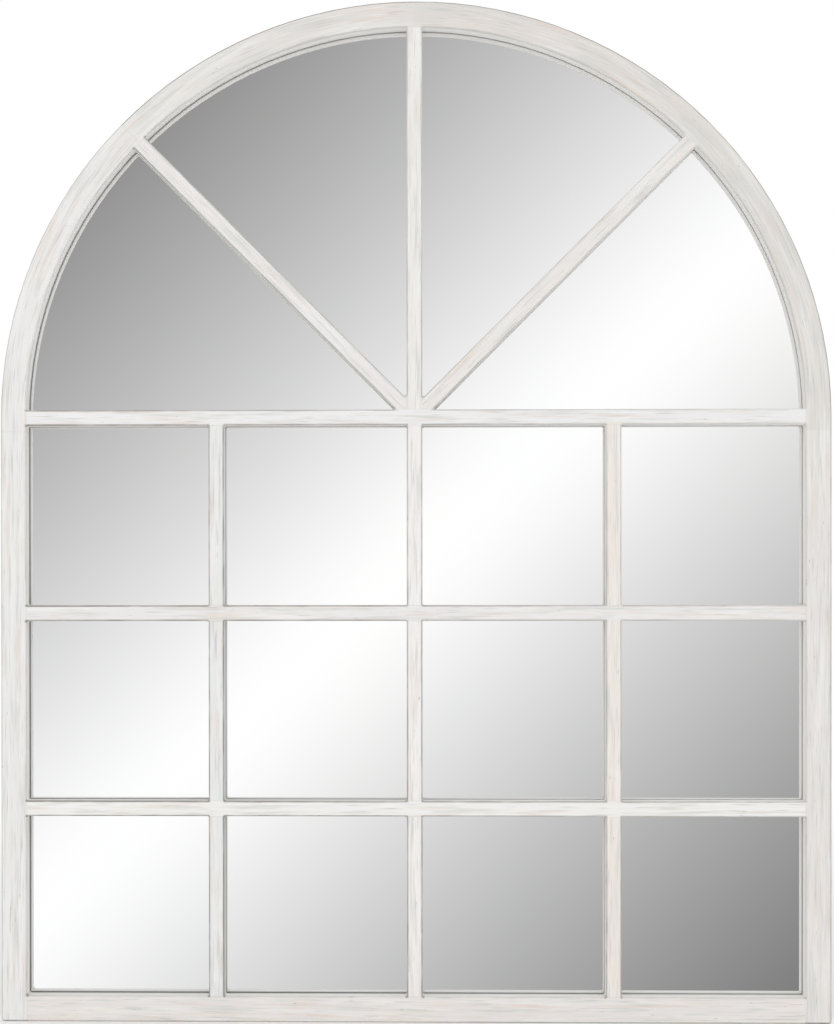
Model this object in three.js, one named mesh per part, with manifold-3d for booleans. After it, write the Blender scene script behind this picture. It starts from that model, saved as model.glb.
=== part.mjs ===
// Arched window mirror: a timber frame with a half-round head, glazing bars lapped and tenoned into it,
// one arched mirror in a rebate behind the bars, a screwed back board and two ring hangers.
//
// Millimetres. +X is to the right and +Z is up for someone who looks at the mirror. +Y runs from the front
// to the wall. The pieces are laid out with x = 0 on the centre line, y = 0 on the front face and z = 0 at
// the foot. The finished group then moves its origin to the middle of the line that the mirror hangs from.

import * as THREE from "three";
import { ConvexGeometry } from "three/addons/geometries/ConvexGeometry.js";
import { mergeVertices } from "three/addons/utils/BufferGeometryUtils.js";
import Module from "manifold-3d";

const wasm = await Module();
wasm.setup();

// ---------------------------------------------------------------- driving dimensions

// Frame and lattice
const WIDTH = 900;
const HEIGHT = 1106;
const FRAME_WIDTH = 28; // face width of stiles, rail and arch
const SIGHT_DEPTH = 18; // front face to the rebate, and the depth of the glazing bars
const REBATE_WIDTH = 8;
const BAR_WIDTH = 17;
const COLUMNS = 4;
const ROWS = 3;
const FAN_PANES = 4;
const FOOT_LEG = 15; // straight length of the arch feet below the spring line
const CORNER_RADIUS = 3;
const EASE = 2; // how far the sanded arrises come in over the face
const EASE_DEPTH = 3.5; // and how far they run down the sides
const GAP = 0.3; // clearance of every fitted joint and seat

// Joints in the timber
const TONGUE_THICK = 6;
const TONGUE_LENGTH = 6; // stub tenons on the glazing bars
const TONGUE_SHOULDER = 3; // bar left on each side of a stub tenon
const RAIL_TENON_LENGTH = 16;
const RAIL_TENON_SHOULDER = 6;
const TONGUE_ROOT = 2;
const SPLINE_THICK = 4;
const SPLINE_REACH = 8; // into the timber on each side of the joint
const SPLINE_EDGE = 7; // timber left between a spline and the outer edge
const SPLINE_WALL = 3; // timber left between a spline and the stub tenons

// Mirror and back board
const MIRROR_THICK = 3;
const MIRROR_MARGIN = 1.5; // play at the sides and head of the rebate
const BOARD_THICK = 3;
const BOARD_INSET = 4;

// Screws
const SCREW_RADIUS = 1.75;
const SCREW_POINT = 3;
const HEAD_RADIUS = 3.6;
const HEAD_HEIGHT = 2;
const HEAD_RIM = 0.8; // straight side below the domed top
const RECESS_WIDTH = 1;
const RECESS_LENGTH = 4.2;
const RECESS_DEPTH = 1.1;
const BOARD_SCREW_LENGTH = 14;
const HANGER_SCREW_LENGTH = 16;
const RAIL_SCREWS = 3; // evenly spaced along the rail
const STILE_SCREWS = 2; // evenly spaced between the foot and the hanger

// Ring hangers
const HANGER_DROP = 50; // spring line to the pivot of the rings
const STRAP_WIDTH = 12;
const STRAP_THICK = 1.2;
const STRAP_HOLES = [27, 43]; // below the pivot
const STRAP_END = 7; // below the last hole
const STRAP_EDGE = 2; // board left beside the strap
const WIRE_RADIUS = 1.25;
const KNUCKLE_PLAY = 0.55; // round the wire
const RING_PLAY = 1.95; // between the strap and the arms of the ring
const RING_CORNER = 3;
const RING_ARM = 2; // straight arm between a corner and the round end
const RING_BUTT = 0.5; // between the ends of the wire, inside the knuckle

// Wall bumpers
const BUMPER_RADIUS = 7;
const BUMPER_HEIGHT = 7;
const BUMPER_TAPER = 0.4; // radius lost over the height
const BUMPER_EDGE = 1;
const BUMPER_INSET = 16; // centre to the edges of the frame

// Facets
const ARC_STEPS = 64; // over the half round
const CORNER_STEPS = 4;
const EASE_STEPS = 3;
const HEAD_STEPS = 2;
const SCREW_SIDES = 12;
const KNUCKLE_STEPS = 18;
const RING_STEPS = 44;
const WIRE_SIDES = 10;
const BUMPER_SIDES = 24;

const OVERRUN = 1; // how far a cutter runs past what it cuts
const EASE_OVERRUN = 0.15; // the same, for a facet of an eased arris

// ---------------------------------------------------------------- values that follow

const half = WIDTH / 2;
const innerHalf = half - FRAME_WIDTH;
const barHalf = BAR_WIDTH / 2;
const springZ = HEIGHT - half;
const footZ = springZ - FOOT_LEG;
const mirrorFront = SIGHT_DEPTH + GAP;
const frameBack = mirrorFront + MIRROR_THICK + GAP;
const boardFront = frameBack + GAP;
const boardBack = boardFront + BOARD_THICK;
const tongueFront = (SIGHT_DEPTH - TONGUE_THICK) / 2;
const lapFront = SIGHT_DEPTH / 2; // the back of a crossbar at a lap
const barTongue = { width: BAR_WIDTH - 2 * TONGUE_SHOULDER, length: TONGUE_LENGTH };
const railTenon = { width: FRAME_WIDTH - 2 * RAIL_TENON_SHOULDER, length: RAIL_TENON_LENGTH };
const splineWidth = FRAME_WIDTH - TONGUE_LENGTH - SPLINE_WALL - SPLINE_EDGE;
const splineRadius = half - SPLINE_EDGE - splineWidth / 2;
const hardwareInset = BOARD_INSET + STRAP_EDGE + STRAP_WIDTH / 2;
const hangerZ = springZ - HANGER_DROP;
const hangerX = half - hardwareInset;
const strapBack = boardBack + GAP;
const strapLength = STRAP_HOLES.at(-1) + STRAP_END;
const knuckleInner = WIRE_RADIUS + KNUCKLE_PLAY;
const knuckleOuter = knuckleInner + STRAP_THICK;
const bumperSeat = boardBack + GAP;
const wallY = bumperSeat + BUMPER_HEIGHT;

// Centre lines of the lattice
const columnPitch = (2 * innerHalf - (COLUMNS - 1) * BAR_WIDTH) / COLUMNS + BAR_WIDTH;
const rowPitch = (springZ - barHalf - FRAME_WIDTH - (ROWS - 1) * BAR_WIDTH) / ROWS + BAR_WIDTH;
const mullionX = steps(COLUMNS - 1).map((i) => -innerHalf - barHalf + (i + 1) * columnPitch);
const crossbarZ = steps(ROWS - 1).map((i) => springZ - (i + 1) * rowPitch);
const fanAngle = (i) => (i * Math.PI) / FAN_PANES;
const hub = new THREE.Vector2(0, springZ);

// ---------------------------------------------------------------- helpers

function steps(count) {
  return Array.from({ length: count }, (_, i) => i);
}

function polar(radius, angle, x = 0, z = springZ) {
  return new THREE.Vector2(x + radius * Math.cos(angle), z + radius * Math.sin(angle));
}

function arc(x, z, radius, from, to, count) {
  return steps(count + 1).map((i) => polar(radius, from + ((to - from) * i) / count, x, z));
}

/** Closed three.js geometry to a solid that can be cut and joined. */
function solid(geometry) {
  const bare = new THREE.BufferGeometry();
  bare.setAttribute("position", geometry.getAttribute("position"));
  bare.setIndex(geometry.getIndex());
  const merged = mergeVertices(bare, 1e-4);
  return new wasm.Manifold(
    new wasm.Mesh({
      numProp: 3,
      vertProperties: new Float32Array(merged.getAttribute("position").array),
      triVerts: new Uint32Array(merged.getIndex().array),
    }),
  );
}

/** Solid back to a flat-shaded geometry. */
function geometryOf(body) {
  const mesh = body.getMesh();
  const geometry = new THREE.BufferGeometry();
  geometry.setAttribute("position", new THREE.BufferAttribute(mesh.vertProperties, 3));
  geometry.setIndex(new THREE.BufferAttribute(mesh.triVerts, 1));
  const faceted = geometry.toNonIndexed();
  faceted.computeVertexNormals();
  return faceted;
}

/** An outline in x and z, as a slab from yFront to yBack. */
function slab(points, yFront, yBack) {
  const geometry = new THREE.ExtrudeGeometry(new THREE.Shape(points), {
    depth: yBack - yFront,
    bevelEnabled: false,
  });
  geometry.rotateX(Math.PI / 2);
  geometry.translate(0, yBack, 0);
  return solid(geometry);
}

/** The same with its arrises eased. */
function easedSlab(points, yFront, yBack) {
  const geometry = new THREE.ExtrudeGeometry(new THREE.Shape(points), {
    depth: yBack - yFront - 2 * EASE_DEPTH,
    bevelThickness: EASE_DEPTH,
    bevelSize: EASE,
    bevelOffset: -EASE,
    bevelSegments: EASE_STEPS,
  });
  geometry.rotateX(Math.PI / 2);
  geometry.translate(0, yBack - EASE_DEPTH, 0);
  return solid(geometry);
}

function block(x0, x1, y0, y1, z0, z1) {
  const geometry = new THREE.BoxGeometry(x1 - x0, y1 - y0, z1 - z0);
  geometry.translate((x0 + x1) / 2, (y0 + y1) / 2, (z0 + z1) / 2);
  return solid(geometry);
}

/** A block that lies along an angle in the x-z plane, from `at`. */
function beam(at, angle, from, to, width, yFront, yBack) {
  const geometry = new THREE.BoxGeometry(to - from, yBack - yFront, width);
  geometry.translate((from + to) / 2, (yFront + yBack) / 2, 0);
  geometry.rotateY(-angle);
  geometry.translate(at.x, 0, at.y);
  return solid(geometry);
}

/** The arched outline, inset from the outer edge of the frame, with square corners at its foot. */
function archOutline(inset, foot = inset) {
  const radius = half - inset;
  return [
    new THREE.Vector2(-radius, foot),
    new THREE.Vector2(radius, foot),
    ...arc(0, springZ, radius, 0, Math.PI, ARC_STEPS),
  ];
}

/** The same outline with its two corners rounded. */
function roundedOutline(inset) {
  const [, rightCorner, ...head] = archOutline(inset);
  const low = inset + CORNER_RADIUS;
  const reach = rightCorner.x - CORNER_RADIUS;
  return [
    ...arc(-reach, low, CORNER_RADIUS, Math.PI, 1.5 * Math.PI, CORNER_STEPS),
    ...arc(reach, low, CORNER_RADIUS, -Math.PI / 2, 0, CORNER_STEPS),
    ...head,
  ];
}

/** Piece with its tenons added and the mortises for other pieces' tenons cut. */
function jointed(body, tenons, mortises) {
  const joined = tenons.reduce((sum, t) => sum.add(tongue(t)), body);
  return mortises.reduce((rest, t) => rest.subtract(tongue(t, GAP)), joined);
}

/** A tenon that leaves the shoulder `at` along an angle, or its mortise when given a clearance. */
function tongue({ at, angle, width, length }, clearance = 0) {
  const front = tongueFront - clearance;
  const back = tongueFront + TONGUE_THICK + clearance;
  return beam(at, angle, -TONGUE_ROOT, length + clearance, width + 2 * clearance, front, back);
}

// ---------------------------------------------------------------- panes and their eased arrises

/** Corners of the pane in a column and row, grown on all sides. */
function latticePane(column, row, grow) {
  const left = -innerHalf + column * columnPitch - grow;
  const right = left + columnPitch - BAR_WIDTH + 2 * grow;
  const top = springZ - barHalf - row * rowPitch + grow;
  const bottom = top - rowPitch + BAR_WIDTH - 2 * grow;
  return [
    new THREE.Vector2(left, bottom),
    new THREE.Vector2(right, bottom),
    new THREE.Vector2(right, top),
    new THREE.Vector2(left, top),
  ];
}

/** Corners and arc of a fan pane, grown on all sides. */
function fanPane(index, grow) {
  const bar = barHalf - grow;
  const radius = innerHalf + grow;
  const margin = Math.asin(bar / radius);
  const from = fanAngle(index);
  const to = fanAngle(index + 1);
  const tip = polar(bar / Math.sin((to - from) / 2), (from + to) / 2);
  const between = arc(0, springZ, radius, from, to, ARC_STEPS / FAN_PANES).slice(1, -1);
  return [tip, polar(radius, from + margin), ...between, polar(radius, to - margin)];
}

/** How far the eased arris comes in over the face, and how deep it lies, from face to side. */
const easeProfile = steps(EASE_STEPS + 1).map((i) => {
  const angle = (i * Math.PI) / (2 * EASE_STEPS);
  return { grow: EASE * (1 - Math.sin(angle)), depth: EASE_DEPTH * (1 - Math.cos(angle)) };
});

/** Cutters that ease the front arris all round a pane, one for each facet of the arris. */
function easeCutters(pane) {
  return easeProfile.slice(1).map((end, i) => {
    const start = easeProfile[i];
    const rise = EASE_OVERRUN * (start.grow - end.grow) / (end.depth - start.depth);
    const front = pane(start.grow + rise).map((p) => new THREE.Vector3(p.x, start.depth - EASE_OVERRUN, p.y));
    const deep = pane(end.grow - rise).map((p) => new THREE.Vector3(p.x, end.depth + EASE_OVERRUN, p.y));
    return solid(new ConvexGeometry([...front, ...deep]));
  });
}

const paneCutters = [
  ...steps(COLUMNS * ROWS).map((i) => (grow) => latticePane(i % COLUMNS, Math.floor(i / COLUMNS), grow)),
  ...steps(FAN_PANES).map((i) => (grow) => fanPane(i, grow)),
].flatMap(easeCutters);

function eased(body) {
  return paneCutters.reduce((rest, cutter) => rest.subtract(cutter), body);
}

// ---------------------------------------------------------------- tenons

/** Stub tenon at a bar's end: the shoulder stands GAP clear of the piece it enters. */
function barEnd(x, z, angle) {
  return { at: new THREE.Vector2(x, z), angle, ...barTongue };
}

const rightwards = 0;
const upwards = Math.PI / 2;
const leftwards = Math.PI;
const downwards = -Math.PI / 2;
const shoulderX = innerHalf - GAP;

const railEnds = [
  { at: new THREE.Vector2(-shoulderX, FRAME_WIDTH / 2), angle: leftwards, ...railTenon },
  { at: new THREE.Vector2(shoulderX, FRAME_WIDTH / 2), angle: rightwards, ...railTenon },
];
const transomEnds = [barEnd(-shoulderX, springZ, leftwards), barEnd(shoulderX, springZ, rightwards)];
const crossbarEnds = crossbarZ.map((z) => [
  barEnd(-shoulderX, z, leftwards),
  barEnd(shoulderX, z, rightwards),
]);
const mullionEnds = mullionX.map((x) => [
  barEnd(x, FRAME_WIDTH + GAP, downwards),
  barEnd(x, springZ - barHalf - GAP, upwards),
]);
const fanHeads = steps(FAN_PANES - 1).map((i) => {
  const angle = fanAngle(i + 1);
  const shoulder = polar(shoulderX, angle);
  return barEnd(shoulder.x, shoulder.y, angle);
});
const fanFoot = barEnd(0, springZ + barHalf + GAP, downwards);

// ---------------------------------------------------------------- frame

/** Loose spline across a joint of the arch, or its slot when given a clearance. */
function spline({ at, angle }, clearance = 0) {
  const reach = SPLINE_REACH + clearance;
  const front = (SIGHT_DEPTH - SPLINE_THICK) / 2 - clearance;
  const back = (SIGHT_DEPTH + SPLINE_THICK) / 2 + clearance;
  return beam(at, angle, -reach, reach, splineWidth + 2 * clearance, front, back);
}

const splines = [
  { at: new THREE.Vector2(splineRadius, footZ), angle: upwards },
  ...fanHeads.map(({ angle }) => ({ at: polar(splineRadius, angle), angle: angle + upwards })),
  { at: new THREE.Vector2(-splineRadius, footZ), angle: upwards },
];

/** Places of the back board's screws, on a line inset from the frame's edge. */
const railScrewPitch = WIDTH / (RAIL_SCREWS + 1);
const stileScrewPitch = (hangerZ - strapLength) / (STILE_SCREWS + 1);
const boardScrews = [
  ...steps(RAIL_SCREWS).map((i) => new THREE.Vector2((i + 1) * railScrewPitch - half, hardwareInset)),
  ...steps(STILE_SCREWS).map((i) => new THREE.Vector2(-hangerX, (i + 1) * stileScrewPitch)),
  ...steps(STILE_SCREWS).map((i) => new THREE.Vector2(hangerX, (i + 1) * stileScrewPitch)),
  ...steps(FAN_PANES).map((i) => polar(hangerX, fanAngle(i + 0.5))),
];
const hangerScrews = [-hangerX, hangerX].flatMap((x) =>
  STRAP_HOLES.map((drop) => new THREE.Vector2(x, hangerZ - drop)),
);

/** Holes for screws whose heads bear at yHead. */
function screwHoles(places, yHead, length) {
  const depth = length + 2 * GAP;
  return places.map((p) => {
    const hole = new THREE.CylinderGeometry(SCREW_RADIUS + GAP, SCREW_RADIUS + GAP, depth, SCREW_SIDES);
    hole.translate(p.x, yHead + GAP - depth / 2, p.y);
    return solid(hole);
  });
}

const boardScrewHead = boardBack + GAP;
const hangerScrewHead = strapBack + STRAP_THICK + GAP;
const pilotHoles = [
  ...screwHoles(boardScrews, boardScrewHead, BOARD_SCREW_LENGTH),
  ...screwHoles(hangerScrews, hangerScrewHead, HANGER_SCREW_LENGTH),
];

/** The whole frame before it is sawn into its members. */
function frameBlank() {
  const through = slab(archOutline(FRAME_WIDTH), -OVERRUN, frameBack + OVERRUN);
  const rebate = slab(archOutline(FRAME_WIDTH - REBATE_WIDTH), SIGHT_DEPTH, frameBack + OVERRUN);
  const outside = easedSlab(roundedOutline(0), 0, frameBack);
  return eased(outside.subtract(through).subtract(rebate));
}

/** The joint lines of the frame, each as wide as its clearance. */
function kerfs() {
  const front = -OVERRUN;
  const back = frameBack + OVERRUN;
  const top = 2 * FRAME_WIDTH;
  return [
    ...fanHeads.map(({ angle }) => beam(hub, angle, innerHalf / 2, WIDTH, GAP, front, back)),
    ...[-innerHalf, shoulderX].map((x) => block(x, x + GAP, front, back, -OVERRUN, top)),
    block(-WIDTH, WIDTH, front, back, footZ - GAP / 2, footZ + GAP / 2),
  ];
}

const sawn = [...kerfs(), ...pilotHoles].reduce((rest, cut) => rest.subtract(cut), frameBlank());

/** The member of the frame inside a rough outline, whose edges run in the kerfs, with its spline slots. */
function member(outline) {
  const body = sawn.intersect(slab(outline, -OVERRUN, frameBack + OVERRUN));
  return splines.reduce((rest, s) => rest.subtract(spline(s, GAP)), body);
}

/** Segments of the arch, counted from the right foot. The two feet reach down to the stiles. */
function archSegment(index) {
  const low = new THREE.Vector2(0, footZ);
  const right = [low, new THREE.Vector2(WIDTH, footZ)];
  const left = [new THREE.Vector2(-WIDTH, footZ), low];
  const start = index === 0 ? right : [polar(WIDTH, fanAngle(index))];
  const end = index === FAN_PANES - 1 ? left : [polar(WIDTH, fanAngle(index + 1))];
  return jointed(member([hub, ...start, ...end]), [], [...transomEnds, ...fanHeads]);
}

function rectangle(x0, x1, z0, z1) {
  return [[x0, z0], [x1, z0], [x1, z1], [x0, z1]].map(([x, z]) => new THREE.Vector2(x, z));
}

function stile(side) {
  const edge = innerHalf - GAP / 2;
  const [low, high] = side > 0 ? [edge, WIDTH] : [-WIDTH, -edge];
  const body = member(rectangle(low, high, -OVERRUN, footZ));
  return jointed(body, [], [...railEnds, ...crossbarEnds.flat()]);
}

function bottomRail() {
  const edge = innerHalf - GAP / 2;
  return jointed(member(rectangle(-edge, edge, -OVERRUN, footZ)), railEnds, mullionEnds.flat());
}

// ---------------------------------------------------------------- glazing bars

function transom() {
  const blank = block(-shoulderX, shoulderX, 0, SIGHT_DEPTH, springZ - barHalf, springZ + barHalf);
  return jointed(eased(blank), transomEnds, [...mullionEnds.flat(), fanFoot]);
}

/** A bar with the notches of its lap joints, where other bars cross it. */
function lapped(blank, crossings, yFront, yBack) {
  const reach = barHalf + GAP;
  return crossings.reduce(
    (rest, [x, z]) => rest.subtract(block(x - reach, x + reach, yFront, yBack, z - reach, z + reach)),
    blank,
  );
}

/** Whole across the front, notched behind for the mullions. */
function crossbar(index) {
  const z = crossbarZ[index];
  const blank = eased(block(-shoulderX, shoulderX, 0, SIGHT_DEPTH, z - barHalf, z + barHalf));
  const crossings = mullionX.map((x) => [x, z]);
  return jointed(lapped(blank, crossings, lapFront, SIGHT_DEPTH + OVERRUN), crossbarEnds[index], []);
}

/** Notched in front for the crossbars that pass over it. */
function mullion(index) {
  const x = mullionX[index];
  const top = springZ - barHalf - GAP;
  const blank = eased(block(x - barHalf, x + barHalf, 0, SIGHT_DEPTH, FRAME_WIDTH + GAP, top));
  const crossings = crossbarZ.map((z) => [x, z]);
  return jointed(lapped(blank, crossings, -OVERRUN, lapFront + GAP), mullionEnds[index], []);
}

/** A fan bar runs from the hub on the transom to the arch. The diagonals are cut to the centre bar. */
function fanBar(index) {
  const head = fanHeads[index];
  const centre = index === FAN_PANES / 2 - 1;
  const front = -OVERRUN;
  const back = SIGHT_DEPTH + OVERRUN;
  const cheek = barHalf + GAP;
  const insideArch = slab(arc(0, springZ, shoulderX, 0, Math.PI, ARC_STEPS), front, back);
  const transomBar = block(-half, half, front, back, 0, springZ + cheek);
  const centreBar = block(-cheek, cheek, front, back, 0, HEIGHT);
  const blank = beam(hub, head.angle, 0, half, BAR_WIDTH, 0, SIGHT_DEPTH)
    .intersect(insideArch)
    .subtract(transomBar);
  const fitted = eased(centre ? blank : blank.subtract(centreBar));
  return jointed(fitted, centre ? [head, fanFoot] : [head], []);
}

// ---------------------------------------------------------------- mirror and back board

function mirror() {
  const edge = FRAME_WIDTH - REBATE_WIDTH;
  return slab(archOutline(edge + MIRROR_MARGIN, edge + GAP), mirrorFront, mirrorFront + MIRROR_THICK);
}

function backBoard() {
  const board = slab(roundedOutline(BOARD_INSET), boardFront, boardBack);
  return pilotHoles.reduce((rest, hole) => rest.subtract(hole), board);
}

// ---------------------------------------------------------------- hardware

/** Pan-head screw along y, with a cross recess. Its head bears at y = 0. */
function screw(length) {
  const dome = steps(HEAD_STEPS + 1).map((i) => {
    const angle = (i * Math.PI) / (2 * HEAD_STEPS);
    return [HEAD_RADIUS * Math.cos(angle), HEAD_RIM + (HEAD_HEIGHT - HEAD_RIM) * Math.sin(angle)];
  });
  const profile = [
    [0, -length],
    [SCREW_RADIUS, SCREW_POINT - length],
    [SCREW_RADIUS, 0],
    [HEAD_RADIUS, 0],
    ...dome,
  ].map(([r, y]) => new THREE.Vector2(r, y));
  const long = RECESS_LENGTH / 2;
  const thin = RECESS_WIDTH / 2;
  const floor = HEAD_HEIGHT - RECESS_DEPTH;
  const top = HEAD_HEIGHT + OVERRUN;
  return solid(new THREE.LatheGeometry(profile, SCREW_SIDES))
    .subtract(block(-long, long, floor, top, -thin, thin))
    .subtract(block(-thin, thin, floor, top, -long, long));
}

/** Steel strip folded round the ring's wire. y = 0 is its back and z = 0 the pivot. */
function hangerStrap() {
  const foldEnd = Math.acos((knuckleOuter - STRAP_THICK) / knuckleOuter) - Math.PI;
  const side = new THREE.Shape([
    new THREE.Vector2(0, -strapLength),
    ...arc(knuckleOuter, 0, knuckleOuter, Math.PI, foldEnd, KNUCKLE_STEPS),
    new THREE.Vector2(STRAP_THICK, -strapLength),
  ]);
  side.holes.push(new THREE.Path(arc(knuckleOuter, 0, knuckleInner, 0, 2 * Math.PI, KNUCKLE_STEPS)));
  const strip = new THREE.ExtrudeGeometry(side, { depth: STRAP_WIDTH, bevelEnabled: false });
  const [x, y, z] = [[1, 0, 0], [0, 1, 0], [0, 0, 1]].map((axis) => new THREE.Vector3(...axis));
  strip.applyMatrix4(new THREE.Matrix4().makeBasis(y, z, x));
  strip.translate(-STRAP_WIDTH / 2, 0, 0);

  const round = STRAP_WIDTH / 2;
  const depth = 2 * knuckleOuter;
  const outline = [
    new THREE.Vector2(round, depth),
    new THREE.Vector2(-round, depth),
    ...arc(0, round - strapLength, round, Math.PI, 2 * Math.PI, KNUCKLE_STEPS),
  ];
  const blank = solid(strip).intersect(slab(outline, -OVERRUN, depth + OVERRUN));
  const places = STRAP_HOLES.map((drop) => new THREE.Vector2(0, -drop));
  const holes = screwHoles(places, STRAP_THICK, STRAP_THICK);
  return holes.reduce((rest, hole) => rest.subtract(hole), blank);
}

/** D-shaped wire ring, hanging down from its bar at the origin. The ends of the wire meet in the bar. */
function hangerRing() {
  const width = STRAP_WIDTH / 2 + RING_PLAY + WIRE_RADIUS;
  const corner = width - RING_CORNER;
  const low = -RING_CORNER - RING_ARM;
  const line = [
    new THREE.Vector2(RING_BUTT / 2, 0),
    ...arc(corner, -RING_CORNER, RING_CORNER, Math.PI / 2, 0, CORNER_STEPS),
    ...arc(0, low, width, 0, -Math.PI, KNUCKLE_STEPS),
    ...arc(-corner, -RING_CORNER, RING_CORNER, Math.PI, Math.PI / 2, CORNER_STEPS),
    new THREE.Vector2(-RING_BUTT / 2, 0),
  ].map((p) => new THREE.Vector3(p.x, 0, p.y));
  const path = new THREE.CurvePath();
  line.slice(1).forEach((point, i) => path.add(new THREE.LineCurve3(line[i], point)));
  const section = new THREE.Shape(arc(0, 0, WIRE_RADIUS, 0, 2 * Math.PI, WIRE_SIDES).slice(0, -1));
  return solid(new THREE.ExtrudeGeometry(section, { steps: RING_STEPS, extrudePath: path }));
}

/** Rubber bumper on the back board. y = 0 is its seat. */
function bumper() {
  const top = BUMPER_RADIUS - BUMPER_TAPER;
  const profile = [
    [0, 0],
    [BUMPER_RADIUS, 0],
    [top, BUMPER_HEIGHT - BUMPER_EDGE],
    [top - BUMPER_EDGE, BUMPER_HEIGHT],
    [0, BUMPER_HEIGHT],
  ].map(([r, y]) => new THREE.Vector2(r, y));
  return solid(new THREE.LatheGeometry(profile, BUMPER_SIDES));
}

// ---------------------------------------------------------------- assembly

const whitewash = { color: 0xe8e5e1, roughness: 0.72, metalness: 0 };
const plywood = { color: 0xc8a878, roughness: 0.8, metalness: 0 };
const silvered = { color: 0xf2f4f4, roughness: 0.02, metalness: 1 };
const hardboard = { color: 0x8a6242, roughness: 0.75, metalness: 0 };
const zincPlate = { color: 0xb9bcbe, roughness: 0.35, metalness: 1 };
const rubber = { color: 0x2b2b2c, roughness: 0.85, metalness: 0 };

/** A named mesh. Its geometry is where the piece lies, or at `place` when that is given. */
function piece(name, body, finish, place = [0, 0, 0]) {
  const mesh = new THREE.Mesh(geometryOf(body), new THREE.MeshStandardMaterial(finish));
  mesh.name = name;
  mesh.position.set(...place);
  return mesh;
}

function frame() {
  const group = new THREE.Group();
  group.add(piece("left_stile", stile(-1), whitewash));
  group.add(piece("right_stile", stile(1), whitewash));
  group.add(piece("bottom_rail", bottomRail(), whitewash));
  ["arch_right_foot", "arch_right_shoulder", "arch_left_shoulder", "arch_left_foot"].forEach((name, i) => {
    group.add(piece(name, archSegment(i), whitewash));
  });
  ["right_foot", "right_shoulder", "crown", "left_shoulder", "left_foot"].forEach((name, i) => {
    group.add(piece(`spline_${name}`, spline(splines[i]), plywood));
  });
  return group;
}

function lattice() {
  const group = new THREE.Group();
  group.add(piece("transom", transom(), whitewash));
  ["crossbar_upper", "crossbar_lower"].forEach((name, i) => {
    group.add(piece(name, crossbar(i), whitewash));
  });
  ["mullion_left", "mullion_centre", "mullion_right"].forEach((name, i) => {
    group.add(piece(name, mullion(i), whitewash));
  });
  ["fan_bar_right", "fan_bar_centre", "fan_bar_left"].forEach((name, i) => {
    group.add(piece(name, fanBar(i), whitewash));
  });
  return group;
}

function back() {
  const group = new THREE.Group();
  group.add(piece("mirror", mirror(), silvered));
  group.add(piece("back_board", backBoard(), hardboard));
  boardScrews.forEach((p, i) => {
    const name = `board_screw_${String(i + 1).padStart(2, "0")}`;
    group.add(piece(name, screw(BOARD_SCREW_LENGTH), zincPlate, [p.x, boardScrewHead, p.y]));
  });
  [["left", -1], ["right", 1]].forEach(([name, side]) => {
    const place = [side * (half - BUMPER_INSET), bumperSeat, BUMPER_INSET];
    group.add(piece(`bumper_${name}`, bumper(), rubber, place));
  });
  return group;
}

/** One ring hanger with its screws, round the pivot of its ring. */
function hanger(name, side) {
  const group = new THREE.Group();
  group.position.set(side * hangerX, strapBack, hangerZ);
  group.add(piece(`hanger_strap_${name}`, hangerStrap(), zincPlate));
  group.add(piece(`hanger_ring_${name}`, hangerRing(), zincPlate, [0, knuckleOuter, 0]));
  STRAP_HOLES.forEach((drop, i) => {
    const place = [0, STRAP_THICK + GAP, -drop];
    group.add(piece(`hanger_screw_${name}_${i + 1}`, screw(HANGER_SCREW_LENGTH), zincPlate, place));
  });
  return group;
}

const archedWindowMirror = new THREE.Group();
archedWindowMirror.add(frame(), lattice(), back(), hanger("left", -1), hanger("right", 1));
archedWindowMirror.position.set(0, -wallY, -hangerZ);

export default archedWindowMirror;
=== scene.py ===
"""Looks of an arched window mirror: a whitewashed pine frame and glazing bars over one arched mirror.

Metres, in the frame of the CAD model: +X to the right, +Z up and +Y towards the wall for someone who looks
at the mirror. The wall is at y = 0 and the rings turn at z = 0.
"""

import math
import random

import bmesh
import bpy
from mathutils import Matrix, Vector


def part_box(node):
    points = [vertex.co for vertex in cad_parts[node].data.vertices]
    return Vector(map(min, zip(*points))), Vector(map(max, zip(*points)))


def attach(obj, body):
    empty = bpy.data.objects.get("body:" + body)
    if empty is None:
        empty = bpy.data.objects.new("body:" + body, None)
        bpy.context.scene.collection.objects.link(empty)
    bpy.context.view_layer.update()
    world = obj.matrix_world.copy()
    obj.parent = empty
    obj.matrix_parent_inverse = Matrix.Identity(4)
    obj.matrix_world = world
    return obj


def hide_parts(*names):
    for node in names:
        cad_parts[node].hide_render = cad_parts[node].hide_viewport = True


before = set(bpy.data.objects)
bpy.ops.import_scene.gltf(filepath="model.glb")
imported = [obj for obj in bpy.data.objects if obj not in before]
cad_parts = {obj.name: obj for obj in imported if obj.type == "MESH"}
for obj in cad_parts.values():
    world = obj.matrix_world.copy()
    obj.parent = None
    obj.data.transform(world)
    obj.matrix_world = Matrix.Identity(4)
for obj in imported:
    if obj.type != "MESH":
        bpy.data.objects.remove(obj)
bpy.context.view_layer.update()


# ---------------------------------------------------------------- stiles, bottom rail and arch
# Planed pine 28 mm across the face with sanded arrises. The arch is band-sawn in four segments. Thin white
# paint is brushed on along the grain and rubbed back, so pinkish wood and grey brush lines show through.

MM = 0.001
IN_MM = (1 / MM, 1 / MM, 1 / MM)
frame_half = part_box("right_stile")[1].x
face_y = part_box("right_stile")[0].y
foot_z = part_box("right_stile")[0].z
spring_z = (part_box("transom")[0].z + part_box("transom")[1].z) / 2
FRAME_WIDTH = 28 * MM
FRAME_DEPTH = 21.6 * MM
SIGHT_DEPTH = 18 * MM  # from the front face to the glass

# The directions in which a member's grain lies.
ALONG_X = 0.0
UPRIGHT = math.pi / 2
ROUND_THE_ARCH = "round the arch"


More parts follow.
